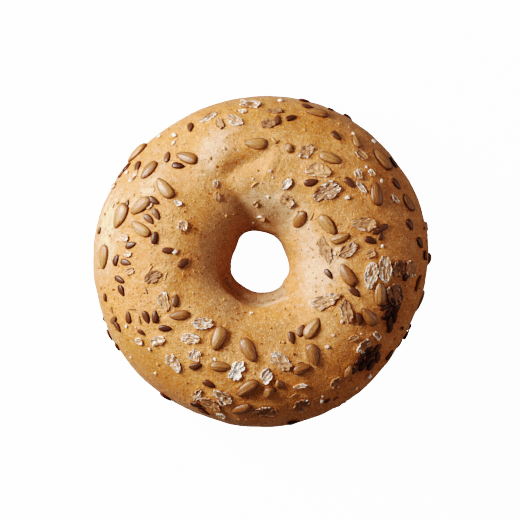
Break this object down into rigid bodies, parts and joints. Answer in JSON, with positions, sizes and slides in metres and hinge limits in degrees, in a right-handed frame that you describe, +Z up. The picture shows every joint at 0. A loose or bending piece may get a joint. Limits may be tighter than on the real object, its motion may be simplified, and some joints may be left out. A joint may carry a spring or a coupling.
{
  "type": "seeded bagel",
  "caption": "Round baked bread ring with an open middle, a satin golden crust and a topping of sunflower kernels, linseeds and cereal flakes.",
  "frame": {"origin": "under the middle of the bagel's box, level with the flat foot that it rests on", "axes": "+Z up through the hole, out of the seeded top; +X to the right and +Y to the top of a view from straight above"},
  "size_m": [0.1119, 0.1097, 0.0379],
  "materials": {
    "crust": "satin golden baked crust with fine bran specks",
    "kernel": "toasted sunflower kernel, dull sheen",
    "linseed": "dark brown glossy linseed",
    "flake": "dry cereal flake, pale floury edges on a tan body",
    "crumb": "dry floury crumb and husk"
  },
  "bodies": {
    "root": {"bagel": "crust"}
  },
  "joints": []
}
